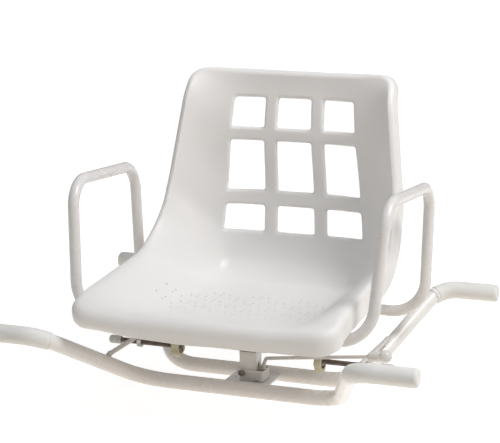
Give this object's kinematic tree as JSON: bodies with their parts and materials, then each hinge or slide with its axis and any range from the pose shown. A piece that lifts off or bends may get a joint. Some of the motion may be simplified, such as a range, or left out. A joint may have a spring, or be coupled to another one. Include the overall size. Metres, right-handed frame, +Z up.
{
  "type": "swivel bath seat",
  "caption": "Swivelling bath seat: moulded bucket seat with a windowed back and tube armrests, turning on a post between bent tubes that hang on a bath's rims; lock lever and screw stops.",
  "frame": {"origin": "on the swivel axis, at the level of the lowest faces of the two long tubes", "axes": "+X along the bath's width, to the sitter's left; +Y towards the backrest; +Z up along the swivel axis"},
  "size_m": [0.72, 0.554, 0.5087],
  "materials": {
    "moulded_plastic": "glossy moulded white",
    "painted_steel": "gloss white powder coat",
    "plain_steel": "dark zinc, lightly worn",
    "grip_rubber": "satin off-white",
    "knob_plastic": "satin off-white",
    "wheel_plastic": "satin cream",
    "tip_rubber": "matte light grey",
    "bush_plastic": "matte black"
  },
  "bodies": {
    "frame": {"base_plate": "painted_steel", "bearing_bush": "bush_plastic", "front_frame_tube": "painted_steel", "rear_frame_tube": "painted_steel", "front_left_grip": "grip_rubber", "front_right_grip": "grip_rubber", "rear_left_grip": "grip_rubber", "rear_right_grip": "grip_rubber", "left_strut": "painted_steel", "right_strut": "painted_steel", "left_screw_nut": "painted_steel", "right_screw_nut": "painted_steel", "swivel_post": "painted_steel", "post_retaining_bolt": "plain_steel", "rocker_pivot_bolt": "plain_steel", "rocker_pivot_nut": "plain_steel"},
    "seat": {"swivel_spindle": "plain_steel", "index_disc": "plain_steel", "index_disc_screw": "plain_steel", "seat_carrier": "painted_steel", "seat_shell": "moulded_plastic", "left_armrest": "painted_steel", "right_armrest": "painted_steel", "front_left_seat_bolt": "plain_steel", "front_right_seat_bolt": "plain_steel", "rear_left_seat_bolt": "plain_steel", "rear_right_seat_bolt": "plain_steel"},
    "lever": {"lock_rocker": "painted_steel", "lever_rod": "painted_steel", "lever_knob": "knob_plastic"},
    "left_tip": {"left_rubber_tip": "tip_rubber"},
    "left_screw": {"left_adjuster_screw": "plain_steel", "left_hand_wheel": "wheel_plastic", "left_jam_nut": "plain_steel"},
    "right_tip": {"right_rubber_tip": "tip_rubber"},
    "right_screw": {"right_adjuster_screw": "plain_steel", "right_hand_wheel": "wheel_plastic", "right_jam_nut": "plain_steel"}
  },
  "joints": [
    {"name": "seat_swivel", "type": "hinge", "parent": "frame", "child": "seat", "pos_m": [0, 0, 0], "axis": [0, 0, 1], "continuous": true},
    {"name": "lock_lever", "type": "hinge", "parent": "frame", "child": "lever", "pos_m": [-0.009, 0, 0.03], "axis": [0, -1, 0], "range_deg": [0, 6]},
    {"name": "left_tip_slide", "type": "slide", "parent": "frame", "child": "left_tip", "axis": [-1, 0, 0], "range_m": [-0.012, 0.04]},
    {"name": "left_screw_spin", "type": "hinge", "parent": "left_tip", "child": "left_screw", "pos_m": [-0.252, 0, 0.0592], "axis": [-1, 0, 0], "range_deg": [-2881, 9601]},
    {"name": "right_tip_slide", "type": "slide", "parent": "frame", "child": "right_tip", "axis": [1, 0, 0], "range_m": [-0.0015, 0.0495]},
    {"name": "right_screw_spin", "type": "hinge", "parent": "right_tip", "child": "right_screw", "pos_m": [0.243, 0, 0.0592], "axis": [1, 0, 0], "range_deg": [-361, 11881]}
  ],
  "couplings": [
    {"joint": "left_screw_spin", "follows": "left_tip_slide", "rad_per_m": 4188.8},
    {"joint": "right_screw_spin", "follows": "right_tip_slide", "rad_per_m": 4188.8}
  ]
}
